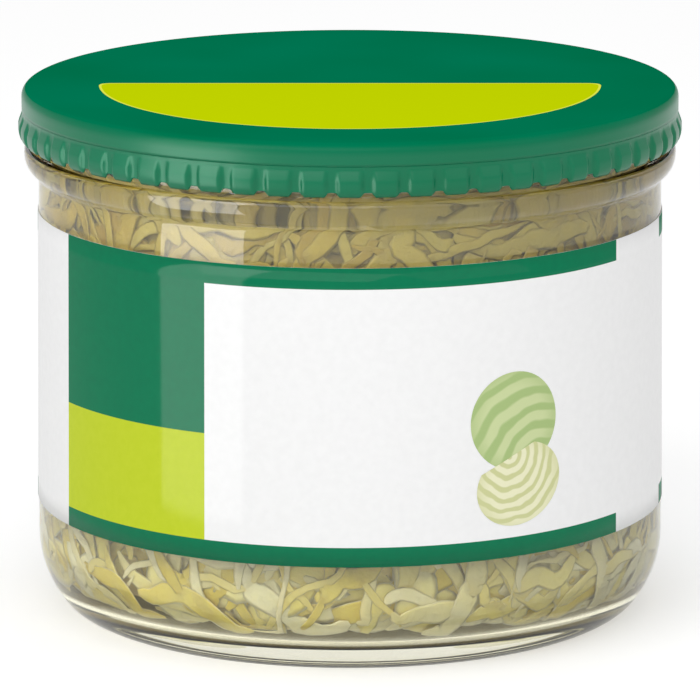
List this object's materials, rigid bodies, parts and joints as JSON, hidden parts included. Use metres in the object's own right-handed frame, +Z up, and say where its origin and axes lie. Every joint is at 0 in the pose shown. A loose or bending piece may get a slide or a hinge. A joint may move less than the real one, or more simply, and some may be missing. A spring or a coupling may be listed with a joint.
{
  "type": "sauerkraut jar",
  "caption": "Low wide glass jar of sauerkraut with rounded heel, push-on metal lid with fluted edge, and a paper wrap label.",
  "frame": {"origin": "on the jar's axis, in the plane that its standing ring rests on", "axes": "+Z up along the jar's axis; -Y faces the front of the label; +Y is the seam at the back"},
  "size_m": [0.0988, 0.0988, 0.079],
  "materials": {
    "glass": "clear flint glass, fire-polished",
    "lacquered_tinplate": "semi-gloss green lacquer on stamped tinplate",
    "label_paper": "white coated paper with printed fields of green and yellow-green, varnished",
    "sauerkraut": "wet, pale yellow cut cabbage in cloudy brine"
  },
  "bodies": {
    "root": {"jar": "glass", "lid": "lacquered_tinplate", "label": "label_paper", "sauerkraut": "sauerkraut"}
  },
  "joints": []
}
